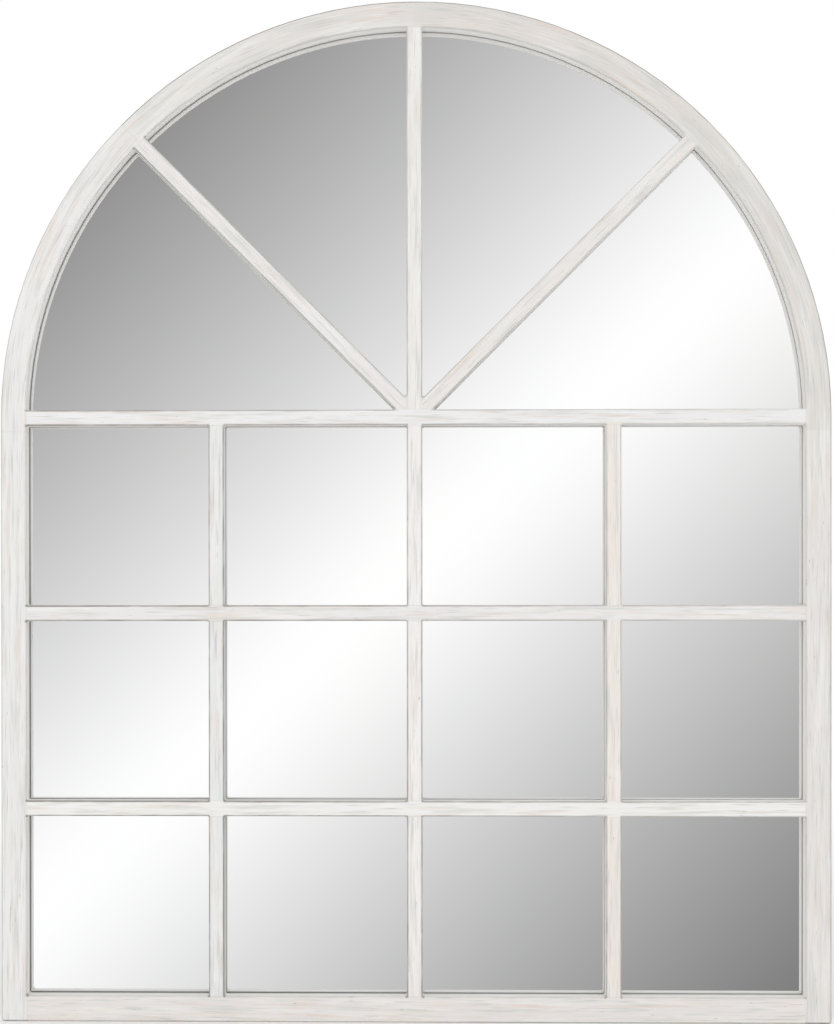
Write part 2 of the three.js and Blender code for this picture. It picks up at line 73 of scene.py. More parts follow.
def linear(code):
    """An sRGB hex colour as the linear colour that a shader takes."""
    channels = [int(code[i : i + 2], 16) / 255 for i in (0, 2, 4)]
    return [c / 12.92 if c <= 0.04045 else ((c + 0.055) / 1.055) ** 2.4 for c in channels] + [1.0]


def add(tree, kind, settings, wires):
    """Adds a node to a tree, with its settings and what goes into its sockets: values, nodes or outputs."""
    node = tree.nodes.new(kind)
    for name, value in settings.items():
        setattr(node, name, value)
    for socket, value in wires.items():
        if isinstance(value, bpy.types.Node):
            value = value.outputs[0]
        if isinstance(value, bpy.types.NodeSocket):
            tree.links.new(value, node.inputs[socket])
        else:
            node.inputs[socket].default_value = value
    return node


def finish(name):
    """An empty material with its node tree."""
    material = bpy.data.materials.new(name)
    material.use_nodes = True
    material.node_tree.nodes.clear()
    return material, material.node_tree


def along_the_grain(tree, lie, start):
    """Place on a member in mm: along the grain, behind the front face, and across the grain."""
    place = add(tree, "ShaderNodeTexCoord", {}, {})
    if lie != ROUND_THE_ARCH:
        return add(
            tree,
            "ShaderNodeMapping",
            {},
            {
                "Vector": place.outputs["Object"],
                "Location": (start[0], -face_y / MM, start[1]),
                "Rotation": (0, lie, 0),
                "Scale": IN_MM,
            },
        )
    from_hub = add(
        tree,
        "ShaderNodeMapping",
        {},
        {
            "Vector": place.outputs["Object"],
            "Location": (0, -face_y / MM, -spring_z / MM),
            "Scale": IN_MM,
        },
    )
    parts = add(tree, "ShaderNodeSeparateXYZ", {}, {0: from_hub})
    turn = add(
        tree, "ShaderNodeMath", {"operation": "ARCTAN2"}, {0: parts.outputs["X"], 1: parts.outputs["Z"]}
    )
    middle = (frame_half - FRAME_WIDTH / 2) / MM
    length = add(tree, "ShaderNodeMath", {"operation": "MULTIPLY_ADD"}, {0: turn, 1: middle, 2: start[0]})
    flat = add(tree, "ShaderNodeVectorMath", {"operation": "MULTIPLY"}, {0: from_hub, 1: (1, 0, 1)})
    radius = add(tree, "ShaderNodeVectorMath", {"operation": "LENGTH"}, {0: flat})
    return add(
        tree,
        "ShaderNodeCombineXYZ",
        {},
        {"X": length, "Y": parts.outputs["Y"], "Z": radius.outputs["Value"]},
    )


def strokes(tree, grain, length, width, detail=2.0):
    """Noise drawn out along the grain, in streaks about that long and wide in mm."""
    drawn_out = add(
        tree,
        "ShaderNodeVectorMath",
        {"operation": "MULTIPLY"},
        {0: grain, 1: (1 / length, 1 / width, 1 / width)},
    )
    return add(tree, "ShaderNodeTexNoise", {}, {"Vector": drawn_out, "Scale": 1, "Detail": detail})


# The grey line on an arris, partly paint rubbed thin and partly painted shade where the round turns away from
# the light: how deep behind the face it starts, is full, starts to fade and ends, in mm. It is broken into
# dashes, which are about this long and wide in mm.
ARRIS_LINE = (0.03, 0.35, 2.4, 4.2)
ARRIS_DASHES = (28, 6)


def rubbed_and_shaded_arris(tree, depth, grain, amount):
    """How dark an arris is by its depth: a fine dashed line of rubbed paint and painted shade."""
    start, full, fades, end = ARRIS_LINE
    outer = add(tree, "ShaderNodeMapRange", {}, {"Value": depth, "From Min": start, "From Max": full})
    inner = add(
        tree, "ShaderNodeMapRange", {}, {"Value": depth, "From Min": end, "From Max": fades, "To Max": amount}
    )
    line = add(tree, "ShaderNodeMath", {"operation": "MULTIPLY"}, {0: outer, 1: inner})
    dashes = add(
        tree,
        "ShaderNodeMapRange",
        {},
        {"Value": strokes(tree, grain, *ARRIS_DASHES), "From Min": 0.35, "From Max": 0.6, "To Min": 0.55},
    )
    return add(tree, "ShaderNodeMath", {"operation": "MULTIPLY"}, {0: line, 1: dashes})


# The arris wear and the painted shade by the glass grow to the lower left, over half a metre on that slope to
# each side of the middle.
WEAR_AND_SHADE_WAY = (-0.9, 0.0, -0.6)
WEAR_AND_SHADE_REACH = 0.5


def lower_left_wear_and_shade(tree, amount):
    """A ramp to that amount at the lower left, fading to the upper right, for arris wear and painted shade.
    """
    place = add(tree, "ShaderNodeTexCoord", {}, {})
    slope = add(
        tree,
        "ShaderNodeVectorMath",
        {"operation": "DOT_PRODUCT"},
        {0: place.outputs["Object"], 1: WEAR_AND_SHADE_WAY},
    )
    return add(
        tree,
        "ShaderNodeMapRange",
        {},
        {"Value": slope.outputs["Value"], "From Min": -WEAR_AND_SHADE_REACH, "From Max": WEAR_AND_SHADE_REACH, "To Max": amount},
    )


def out_of_the_arch(tree):
    """How a surface faces, in metres: over 0 on the outside of the frame and under 0 on its glass side."""
    place = add(tree, "ShaderNodeTexCoord", {}, {})
    from_hub = add(
        tree, "ShaderNodeMapping", {}, {"Vector": place.outputs["Object"], "Location": (0, 0, -spring_z)}
    )
    facing = add(
        tree, "ShaderNodeVectorMath", {"operation": "DOT_PRODUCT"}, {0: place.outputs["Normal"], 1: from_hub}
    )
    return facing.outputs["Value"]


# Tone, length and width in mm, where in the noise it starts and is full, and how much of it there is.
# The real bristle lines are about 0.3 mm wide: they are drawn 1.4 mm wide so that they show.
BRUSH_WORK = (
    ("F6F5F3", 130, 10, 0.48, 0.70, 0.60),  # where the paint lies thick
    ("D4D5D1", 75, 5, 0.52, 0.70, 0.75),  # thin paint, cool and grey
    ("E6D8D0", 90, 6, 0.55, 0.72, 0.75),  # rubbed nearly through to the pink of the wood
    ("EDE7DB", 110, 3, 0.56, 0.70, 0.60),  # the same over yellower wood
    ("BFBFBB", 42, 1.4, 0.58, 0.72, 0.65),  # bristle lines
    ("FCFAF7", 60, 1.4, 0.58, 0.72, 0.60),  # ridges of paint between them
    ("B3A694", 55, 1.3, 0.66, 0.74, 0.50),  # dark lines of the grain where the paint is rubbed thin
    ("9C8E7D", 13, 1.7, 0.70, 0.76, 0.75),  # chips down to the bare wood
)
# How dark the arris line is, and its tone: partly paint rubbed off, partly painted shade of the turned-away
# round.
BARS_RUBBED_AND_SHADED = 1.2
GLASS_SIDE_RUBBED_AND_SHADED = 0.12
RUBBED_AND_SHADED_TONE = "A29E97"
EDGE_ON = 0.05  # the arris line and the painted shade by the glass change from outside to glass side within this much of out_of_the_arch
# The sides of a member: painted light makes them whiter from these depths behind the face in mm, and painted
# shade greys the corner at the glass.
SIDE_PAINTED_LIGHT_TONE = "FCFBF9"
SIDE_PAINTED_LIGHT = 0.85
SIDE_PAINTED_LIGHT_DEPTHS = (2.5, 4.5)
PAINTED_CONTACT_SHADE_TONE = "8A867F"
PAINTED_CONTACT_SHADE = 0.75
PAINTED_CONTACT_SHADE_DEPTHS = (11.0, 19.0)
# The back is left bare, with growth rings about this long and wide in mm.
RAW_WOOD = ("E3C79C", "C39A66")
GROWTH_RINGS = (220, 5)
BARE_DEPTHS = (FRAME_DEPTH / MM - 0.8, FRAME_DEPTH / MM - 0.1)
BRISTLE_MARKS = (50, 1.4)
LEFT_OF_CROWN = (-100, -420)  # mm along the arch, over which a tint turns into the foot tint
PAINT_IOR = 1.5


def whitewash(member, tint, lie, start, outside_rubbed_and_shaded=None, foot_tint=None):
    """Whitewashed pine: a soft matt white that is never one tone, with its marks drawn out along the grain.
    Oil-bound paint has an IOR of about 1.5; rubbed back it is matt, a little shinier where it lies thick.
    Start is the member's place in the brush work, along and across it, and a bar has no outside. A foot tint
    is what the arch's tint turns into on its way down to the left."""
    material, tree = finish("whitewashed_pine_" + member)
    arris_wear_and_shade = lower_left_wear_and_shade(tree, BARS_RUBBED_AND_SHADED)
    # painted shade by the glass, stronger to the lower left
    painted_shade_by_glass = lower_left_wear_and_shade(tree, PAINTED_CONTACT_SHADE)
    if outside_rubbed_and_shaded is not None:
        facing = out_of_the_arch(tree)
        arris_wear_and_shade = add(
            tree,
            "ShaderNodeMapRange",
            {},
            {
                "Value": facing,
                "From Min": -EDGE_ON,
                "From Max": EDGE_ON,
                "To Min": GLASS_SIDE_RUBBED_AND_SHADED,
                "To Max": outside_rubbed_and_shaded,
            },
        )
        painted_shade_by_glass = add(
            tree,
            "ShaderNodeMapRange",
            {},
            {"Value": facing, "From Min": EDGE_ON, "From Max": 0.0, "To Max": painted_shade_by_glass},
        )
    grain = along_the_grain(tree, lie, start)
    parts = add(tree, "ShaderNodeSeparateXYZ", {}, {0: grain})
    depth = parts.outputs["Y"]
    colour = linear(tint)
    if foot_tint:
        near, far = LEFT_OF_CROWN
        down = add(
            tree, "ShaderNodeMapRange", {}, {"Value": parts.outputs["X"], "From Min": near, "From Max": far}
        )
        colour = add(
            tree, "ShaderNodeMixRGB", {}, {"Fac": down, "Color1": colour, "Color2": linear(foot_tint)}
        )
    for tone, length, width, low, high, amount in BRUSH_WORK:
        mark = strokes(tree, grain, length, width)
        cover = add(
            tree,
            "ShaderNodeMapRange",
            {},
            {"Value": mark, "From Min": low, "From Max": high, "To Max": amount},
        )
        colour = add(
            tree, "ShaderNodeMixRGB", {}, {"Fac": cover, "Color1": colour, "Color2": linear(tone)}
        )
    # painted light: the sides of the members are whitened so that they read as bright as the faces
    near, far = SIDE_PAINTED_LIGHT_DEPTHS
    side = add(
        tree,
        "ShaderNodeMapRange",
        {},
        {"Value": depth, "From Min": near, "From Max": far, "To Max": SIDE_PAINTED_LIGHT},
    )
    colour = add(
        tree, "ShaderNodeMixRGB", {}, {"Fac": side, "Color1": colour, "Color2": linear(SIDE_PAINTED_LIGHT_TONE)}
    )
    # painted shade: a grey line on the round of each arris, partly rubbed paint, partly the shade where it
    # turns from the light
    worn_and_shaded_arris = rubbed_and_shaded_arris(tree, depth, grain, arris_wear_and_shade)
    colour = add(
        tree, "ShaderNodeMixRGB", {}, {"Fac": worn_and_shaded_arris, "Color1": colour, "Color2": linear(RUBBED_AND_SHADED_TONE)}
    )
    # painted shade: grey in the corner where the sides of the members meet the glass
    near, far = PAINTED_CONTACT_SHADE_DEPTHS
    painted_contact_shade = add(
        tree,
        "ShaderNodeMapRange",
        {"interpolation_type": "SMOOTHSTEP"},
        {"Value": depth, "From Min": near, "From Max": far, "To Max": painted_shade_by_glass},
    )
    colour = add(
        tree, "ShaderNodeMixRGB", {}, {"Fac": painted_contact_shade, "Color1": colour, "Color2": linear(PAINTED_CONTACT_SHADE_TONE)}
    )
    rings = strokes(tree, grain, *GROWTH_RINGS, detail=3.0)
    early, late = (linear(tone) for tone in RAW_WOOD)
    raw = add(tree, "ShaderNodeMixRGB", {}, {"Fac": rings, "Color1": early, "Color2": late})
    near, far = BARE_DEPTHS
    back = add(tree, "ShaderNodeMapRange", {}, {"Value": depth, "From Min": near, "From Max": far})
    colour = add(tree, "ShaderNodeMixRGB", {}, {"Fac": back, "Color1": colour, "Color2": raw})
    bristles = strokes(tree, grain, *BRISTLE_MARKS, detail=3.0)
    roughness = add(
        tree, "ShaderNodeMapRange", {}, {"Value": bristles, "To Min": 0.50, "To Max": 0.78}
    )
    relief = add(
        tree, "ShaderNodeBump", {}, {"Height": bristles, "Strength": 0.45, "Distance": 0.15 * MM}
    )
    shader = add(
        tree,
        "ShaderNodeBsdfPrincipled",
        {},
        {"Base Color": colour, "Roughness": roughness, "Normal": relief, "IOR": PAINT_IOR},
    )
    add(tree, "ShaderNodeOutputMaterial", {}, {"Surface": shader})
    return material


# Facets that meet at less than this angle stand for one round, and points this close are one.
SHARPEST_FACET = math.radians(40)
WELD = 0.005 * MM


def soften_arrises():
    """Node group that shades the facets of a sanded arris as one round and leaves true corners sharp."""
    group = bpy.data.node_groups.new("sanded_arrises", "GeometryNodeTree")
    group.interface.new_socket("Wood", in_out="INPUT", socket_type="NodeSocketGeometry")
    group.interface.new_socket("Wood", in_out="OUTPUT", socket_type="NodeSocketGeometry")
    wood = add(group, "NodeGroupInput", {}, {})
    welded = add(group, "GeometryNodeMergeByDistance", {}, {"Geometry": wood, "Distance": WELD})
    smooth = add(group, "GeometryNodeSetShadeSmooth", {"domain": "FACE"}, {"Geometry": welded})
    angle = add(group, "GeometryNodeInputMeshEdgeAngle", {}, {})
    soft = add(
        group,
        "FunctionNodeCompare",
        {"data_type": "FLOAT", "operation": "LESS_THAN"},
        {0: angle.outputs["Unsigned Angle"], 1: SHARPEST_FACET},
    )
    eased = add(
        group, "GeometryNodeSetShadeSmooth", {"domain": "EDGE"}, {"Geometry": smooth, "Shade Smooth": soft}
    )
    add(group, "NodeGroupOutput", {}, {0: eased})
    return group


sanded_arrises = soften_arrises()


def coat(node, material):
    """Gives a CAD node its finish, and shades its small facets as the rounds they stand for."""
    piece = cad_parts[node]
    piece.data.materials.clear()
    piece.data.materials.append(material)
    facets = piece.modifiers.new("sanded_arrises", "NODES")
    facets.node_group = sanded_arrises
    weights = piece.modifiers.new("flat_faces_stay_flat", "WEIGHTED_NORMAL")
    weights.keep_sharp = True


# The brush went on up one stile, round the arch and down the other after assembly, so the strokes run on
# across the joints. Each row is a member, its tint, its grain, its place in the brush work in mm, how dark
# its outer arris line is, as rubbed paint and painted shade, and its foot tint.
half_arch = math.pi / 2 * (frame_half - FRAME_WIDTH / 2) / MM
stile_start = half_arch + spring_z / MM
for member, *look in (
    ("left_stile", "EDEDEC", UPRIGHT, (-stile_start, 0), 0.55),
    ("right_stile", "E7E4E2", -UPRIGHT, (stile_start, 0), 0.9),
    ("bottom_rail", "EBE7E4", ALONG_X, (620, 620), 0.1),
    ("arch_right_foot", "E0DDD9", ROUND_THE_ARCH, (0, 0), 0.85),
    ("arch_right_shoulder", "E0DCD8", ROUND_THE_ARCH, (0, 0), 1.2),
    ("arch_left_shoulder", "E2DEDB", ROUND_THE_ARCH, (0, 0), 1.4, "EDECEB"),
    ("arch_left_foot", "E2DEDB", ROUND_THE_ARCH, (0, 0), 0.6, "EDECEB"),
):
    coat(member, whitewash(member, *look))


# ---------------------------------------------------------------- splines
# Loose tongues of birch plywood, glued into slots across the joints of the arch. Only their edges could
# ever be seen, through the hairline of a joint.


def birch_plywood():
    """Raw birch plywood: pale tan veneers 1.4 mm thick with darker glue lines, dry and matt."""
    material, tree = finish("raw_birch_plywood")
    place = add(tree, "ShaderNodeTexCoord", {}, {})
    veneers = add(
        tree,
        "ShaderNodeTexWave",
        {"bands_direction": "Y"},
        {"Vector": place.outputs["Object"], "Scale": 225, "Distortion": 0.4, "Detail": 2},
    )
    colour = add(
        tree,
        "ShaderNodeMixRGB",
        {},
        {"Fac": veneers, "Color1": linear("B08C5C"), "Color2": linear("D8BC8C")},
    )
    roughness = add(tree, "ShaderNodeMapRange", {}, {"Value": veneers, "To Min": 0.65, "To Max": 0.8})
    shader = add(
        tree, "ShaderNodeBsdfPrincipled", {}, {"Base Color": colour, "Roughness": roughness, "IOR": 1.5}
    )
    add(tree, "ShaderNodeOutputMaterial", {}, {"Surface": shader})
    return material


plywood = birch_plywood()
for joint in ("right_foot", "right_shoulder", "crown", "left_shoulder", "left_foot"):
    coat("spline_" + joint, plywood)


# ---------------------------------------------------------------- glazing bars
# Pine 17 mm wide and 18 mm deep, tenoned into the frame, halved where they cross and flush in front.
# They carry the same brushed and rubbed white as the frame, a shade lighter.

for member, tint, lie, start in (
    ("transom", "F0F0F0", ALONG_X, 930),
    ("crossbar_upper", "EEECEB", ALONG_X, 1240),
    ("crossbar_lower", "F5F4F2", ALONG_X, 1550),
    ("mullion_left", "ECEEEE", UPRIGHT, 1860),
    ("mullion_centre", "F6F3F2", UPRIGHT, 2170),
    ("mullion_right", "F2EBE5", UPRIGHT, 2480),
    ("fan_bar_right", "ECE9E7", math.radians(45), 2790),
    ("fan_bar_centre", "F0EEEB", UPRIGHT, 3100),
    ("fan_bar_left", "EDEAE9", math.radians(135), 3410),
):
    coat(member, whitewash(member, tint, lie, (start, start)))


# ---------------------------------------------------------------- paint in the joints and corners
# The paint went on after assembly. It bridges the hairline joints, a little sunk where it shrank as it
# dried, and gathers in the corners of the panes in small hollow fillets.

BAR_WIDTH = 17 * MM
COLUMNS = 4
ROWS = 3
FOOT_JOINT_DROP = 15 * MM  # the joints of the arch and the stiles lie below the spring line
JOINT = 0.3 * MM
SUNK = 0.12 * MM
KEYED = 0.1 * MM  # how far the paint reaches into the wood that it holds to
# The round of an arris in steps: mm over the face and mm down the side.
ARRIS_STEPS = ((2.0, 0.0), (1.0, 0.469), (0.268, 1.75), (0.0, 3.5))
FILLET = 1.7 * MM
FILLET_SIZES = (0.6, 1.4)  # the smallest and the largest, as shares of that
FILLET_WIDENS = 0.5  # on the arris, as a share of how far that has come over the face
FILLET_STEPS = 5
FAN_PANES = 4
PAINT_SEED = 4

inner_half = frame_half - FRAME_WIDTH
bar_half = BAR_WIDTH / 2
column_pitch = (2 * inner_half - (COLUMNS - 1) * BAR_WIDTH) / COLUMNS + BAR_WIDTH
panes_high = spring_z - bar_half - foot_z - FRAME_WIDTH
row_pitch = (panes_high - (ROWS - 1) * BAR_WIDTH) / ROWS + BAR_WIDTH
mullion_x = [-column_pitch, 0.0, column_pitch]
crossbar_z = [spring_z - row_pitch, spring_z - 2 * row_pitch]

paint_mesh = bmesh.new()
brush = random.Random(PAINT_SEED)


def loft(rings):
    """Skins a closed body through rings of points, from the front to the back."""
    loops = [[paint_mesh.verts.new(p) for p in ring] for ring in rings]
    count = len(loops[0])
    paint_mesh.faces.new(loops[0])
    paint_mesh.faces.new(reversed(loops[-1]))
    for front, behind in zip(loops, loops[1:]):
        for i in range(count):
            j = (i + 1) % count
            paint_mesh.faces.new((front[i], behind[i], behind[j], front[j]))


def bridge(x, z, direction, low, high, low_arris=1.0, high_arris=1.0, depth=SIGHT_DEPTH):
    """Paint across a joint at (x, z). The joint runs across the direction, from low to high of that point.
    An end at an arris is rounded with it; one that butts on another bar isn't."""
    along = Vector((math.cos(direction), 0, math.sin(direction)))
    across = Vector((-math.sin(direction), 0, math.cos(direction)))
    left = [(low + SUNK + over * MM * low_arris, down * MM) for over, down in ARRIS_STEPS]
    right = [(high - SUNK - over * MM * high_arris, down * MM) for over, down in ARRIS_STEPS]
    outline = [(left[-1][0], depth)] + left[::-1] + right + [(right[-1][0], depth)]
    centre = Vector((x, face_y, z))
    reach = JOINT / 2 + KEYED
    loft(
        [
            [centre + along * end + across * a + Vector((0, max(d, SUNK), 0)) for a, d in outline]
            for end in (-reach, reach)
        ]
    )


# The bars are joined to the frame, and the mullions are lapped behind the crossbars at half their depth.
rail_z = foot_z + FRAME_WIDTH / 2
half_width = FRAME_WIDTH / 2
joint_x = inner_half - JOINT / 2
for side in (-1, 1):
    bridge(side * joint_x, rail_z, ALONG_X, -half_width, half_width)
    bridge(side * joint_x, spring_z, ALONG_X, -bar_half, bar_half)
    bridge(side * (frame_half - half_width), spring_z - FOOT_JOINT_DROP, UPRIGHT, -half_width, half_width)
    for z in crossbar_z:
        bridge(side * joint_x, z, ALONG_X, -bar_half, bar_half)
for x in mullion_x:
    bridge(x, foot_z + FRAME_WIDTH + JOINT / 2, UPRIGHT, -bar_half, bar_half)
    bridge(x, spring_z - bar_half - JOINT / 2, UPRIGHT, -bar_half, bar_half)
    for z in crossbar_z:
        for side in (-1, 1):
            bridge(x, z + side * (bar_half + JOINT / 2), UPRIGHT, -bar_half, bar_half, depth=SIGHT_DEPTH / 2)
# Each fan bar meets the arch where two of its segments are joined.
for turn in (45, 90, 135):
    angle = math.radians(turn)
    out = Vector((math.cos(angle), math.sin(angle)))
    head = out * joint_x
    bridge(head.x, spring_z + head.y, angle, -bar_half, bar_half)
    seam = out * (frame_half - half_width)
    bridge(seam.x, spring_z + seam.y, angle - math.pi / 2, -half_width, half_width, low_arris=0.0)

# The feet of the fan bars: the two diagonals are cut to the centre bar and to the top of the transom.
foot = bar_half + JOINT / 2
reach = foot + bar_half * math.sqrt(2)
bridge(0, spring_z + foot, UPRIGHT, -reach, reach, math.sqrt(2), math.sqrt(2))
for side in (-1, 1):
    middle = (bar_half + reach) / 2
    half = (reach - bar_half) / 2
    bridge(side * foot, spring_z + middle, ALONG_X, -half, half, 0.0, math.sqrt(2))


def fillet(x, z, one_way, other_way):
    """Hollow fillet of paint in a pane's corner, between its edges, which leave the corner both ways."""
    corner = Vector((x, face_y, z))
    a = Vector((math.cos(one_way), 0, math.sin(one_way)))
    b = Vector((math.cos(other_way), 0, math.sin(other_way)))
    opening = a.angle(b)
    spread = math.sin(opening)
    inward_a = (b - a * a.dot(b)).normalized()
    inward_b = (a - b * a.dot(b)).normalized()
    size = FILLET * brush.uniform(*FILLET_SIZES)
    levels = [(over * MM, down * MM) for over, down in ARRIS_STEPS] + [(0.0, SIGHT_DEPTH)]
    rings = []
    for over, down in levels:
        point = corner - (a + b) * (over / spread) + Vector((0, max(down, SUNK / 2), 0))
        radius = size + FILLET_WIDENS * over
        length = radius / math.tan(opening / 2)
        centre = point + (a + b) * (radius / spread)
        start = math.atan2(*(point + a * length - centre).zx)
        turn = math.atan2(*(point + b * length - centre).zx) - start
        turn = (turn + math.pi) % (2 * math.pi) - math.pi
        hollow = []
        for i in range(FILLET_STEPS + 1):
            angle = start + turn * i / FILLET_STEPS
            hollow.append(centre + Vector((math.cos(angle), 0, math.sin(angle))) * radius)
        rooted = [
            point + b * length - inward_b * KEYED,
            point - (a + b) * (KEYED / spread),
            point + a * length - inward_a * KEYED,
        ]
        rings.append(hollow + rooted)
    loft(rings)


for column in range(COLUMNS):
    for row in range(ROWS):
        left = -inner_half + column * column_pitch
        right = left + column_pitch - BAR_WIDTH
        top = spring_z - bar_half - row * row_pitch
        bottom = top - row_pitch + BAR_WIDTH
        fillet(left, bottom, 0, math.pi / 2)
        fillet(right, bottom, math.pi / 2, math.pi)
        fillet(right, top, math.pi, 1.5 * math.pi)
        fillet(left, top, 1.5 * math.pi, 2 * math.pi)

# A fan pane has a narrow corner at the hub and two wide ones at the arch.
half_pane = math.pi / (2 * FAN_PANES)
tip = bar_half / math.sin(half_pane)
margin = math.asin(bar_half / inner_half)
for pane in range(FAN_PANES):
    low = pane * math.pi / FAN_PANES
    high = low + math.pi / FAN_PANES
    fillet(tip * math.cos(low + half_pane), spring_z + tip * math.sin(low + half_pane), low, high)
    for angle, bar, tangent in ((low + margin, low, math.pi / 2), (high - margin, high, -math.pi / 2)):
        x = inner_half * math.cos(angle)
        z = spring_z + inner_half * math.sin(angle)
        fillet(x, z, bar + math.pi, angle + tangent)


def settled_paint():
    """White paint that has run together: smoother and a shade lighter than where it is rubbed back."""
    material, tree = finish("whitewash_settled_in_joints")
    place = add(tree, "ShaderNodeTexCoord", {}, {})
    mottle = add(
        tree, "ShaderNodeTexNoise", {}, {"Vector": place.outputs["Object"], "Scale": 120, "Detail": 3}
    )
    colour = add(
        tree, "ShaderNodeMixRGB", {}, {"Fac": mottle, "Color1": linear("DFDCD6"), "Color2": linear("EFEDE9")}
    )
    roughness = add(tree, "ShaderNodeMapRange", {}, {"Value": mottle, "To Min": 0.45, "To Max": 0.65})
    in_mm = add(
        tree,
        "ShaderNodeMapping",
        {},
        {"Vector": place.outputs["Object"], "Location": (0, -face_y / MM, 0), "Scale": IN_MM},
    )
    depth = add(tree, "ShaderNodeSeparateXYZ", {}, {0: in_mm}).outputs["Y"]
    # painted shade: a grey line on the round of each arris, partly rubbed paint, partly the shade where it
    # turns from the light
    worn_and_shaded_arris = rubbed_and_shaded_arris(tree, depth, in_mm, lower_left_wear_and_shade(tree, BARS_RUBBED_AND_SHADED))
    colour = add(
        tree, "ShaderNodeMixRGB", {}, {"Fac": worn_and_shaded_arris, "Color1": colour, "Color2": linear(RUBBED_AND_SHADED_TONE)}
    )
    relief = add(
        tree, "ShaderNodeBump", {}, {"Height": mottle, "Strength": 0.3, "Distance": 0.1 * MM}
    )
    shader = add(
        tree,
        "ShaderNodeBsdfPrincipled",
        {},
        {"Base Color": colour, "Roughness": roughness, "Normal": relief, "IOR": PAINT_IOR},
    )
    add(tree, "ShaderNodeOutputMaterial", {}, {"Surface": shader})
    return material


def piece_from(name, mesh_in_work, *materials):
    """Turns a mesh in work into an object of that name, with its faces turned outwards."""
    bmesh.ops.recalc_face_normals(mesh_in_work, faces=mesh_in_work.faces)
    mesh = bpy.data.meshes.new(name)
    mesh_in_work.to_mesh(mesh)
    mesh_in_work.free()
    for material in materials:
        mesh.materials.append(material)
    piece = bpy.data.objects.new(name, mesh)
    bpy.context.scene.collection.objects.link(piece)
    return piece


joint_paint = piece_from("paint_in_joints", paint_mesh, settled_paint())
joint_paint.modifiers.new("sanded_arrises", "NODES").node_group = sanded_arrises
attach(joint_paint, "frame")


# ---------------------------------------------------------------- mirror
# One arched sheet of 3 mm float glass, silvered on the back and sealed with grey paint, held in the rebate.
# The bright layer is what is seen: it stands where the glass makes it appear, 2 mm behind the front.

GLASS_LOOK_THROUGH = 2 * MM  # 3 mm of glass looks 2 mm thick, by its refraction
GROUND_EDGE = 0.3 * MM
ARC_STEPS = 128

mirror_low, mirror_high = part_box("mirror")
silver_y = mirror_low.y + GLASS_LOOK_THROUGH


def arched_outline(inset, y):
    """Points of the mirror's edge, anticlockwise from its left foot, inset all round."""
    radius = mirror_high.x - inset
    points = [Vector((-radius, y, mirror_low.z + inset)), Vector((radius, y, mirror_low.z + inset))]
    for i in range(ARC_STEPS + 1):
        angle = math.pi * i / ARC_STEPS
        points.append(Vector((radius * math.cos(angle), y, spring_z + radius * math.sin(angle))))
    return points


def silvering():
    """Silver behind polished glass: it reflects 93% of the light evenly, with a faint bloom of wiping."""
    material, tree = finish("silvered_float_glass")
    place = add(tree, "ShaderNodeTexCoord", {}, {})
    wiped = add(
        tree,
        "ShaderNodeTexNoise",
        {},
        {"Vector": place.outputs["Object"], "Scale": 4, "Detail": 2, "Distortion": 0.6},
    )
    bloom = add(tree, "ShaderNodeMapRange", {}, {"Value": wiped, "To Min": 0.0, "To Max": 0.03})
    colour = add(
        tree, "ShaderNodeMixRGB", {}, {"Fac": wiped, "Color1": linear("F6F7F7"), "Color2": linear("F8F8F7")}
    )
    shader = add(
        tree, "ShaderNodeBsdfPrincipled", {}, {"Base Color": colour, "Metallic": 1.0, "Roughness": bloom}
    )
    add(tree, "ShaderNodeOutputMaterial", {}, {"Surface": shader})
    return material


def backing_paint():
    """The mirror maker's sealing coat: a flat grey lacquer, poured on, with a slight orange peel."""
    material, tree = finish("grey_mirror_backing_lacquer")
    place = add(tree, "ShaderNodeTexCoord", {}, {})
    peel = add(
        tree, "ShaderNodeTexNoise", {}, {"Vector": place.outputs["Object"], "Scale": 400, "Detail": 2}
    )
    colour = add(
        tree, "ShaderNodeMixRGB", {}, {"Fac": peel, "Color1": linear("777B7C"), "Color2": linear("868A8B")}
    )
    relief = add(tree, "ShaderNodeBump", {}, {"Height": peel, "Strength": 0.2, "Distance": 0.1 * MM})
    shader = add(
        tree,
        "ShaderNodeBsdfPrincipled",
        {},
        {"Base Color": colour, "Roughness": 0.5, "Normal": relief, "IOR": 1.5},
    )
    add(tree, "ShaderNodeOutputMaterial", {}, {"Surface": shader})
    return material


plate = bmesh.new()
edges = [
    [plate.verts.new(p) for p in arched_outline(inset, y)]
    for inset, y in (
        (GROUND_EDGE, silver_y),
        (0.0, silver_y + GROUND_EDGE),
        (0.0, mirror_high.y),
    )
]
plate.faces.new(edges[0])
plate.faces.new(reversed(edges[-1])).material_index = 1
for ring, (near, far) in enumerate(zip(edges, edges[1:])):
    for i in range(len(near)):
        j = (i + 1) % len(near)
        plate.faces.new((near[i], near[j], far[j], far[i])).material_index = ring
silver = piece_from("mirror_silver", plate, silvering(), backing_paint())
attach(silver, "frame")
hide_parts("mirror")


# ---------------------------------------------------------------- back board
# A sheet of 3 mm hardboard closes the back: pressed wood fibre, smooth side out, sawn to the frame's shape
# a little smaller. It is screwed to the back of the frame and holds the mirror in its rebate.


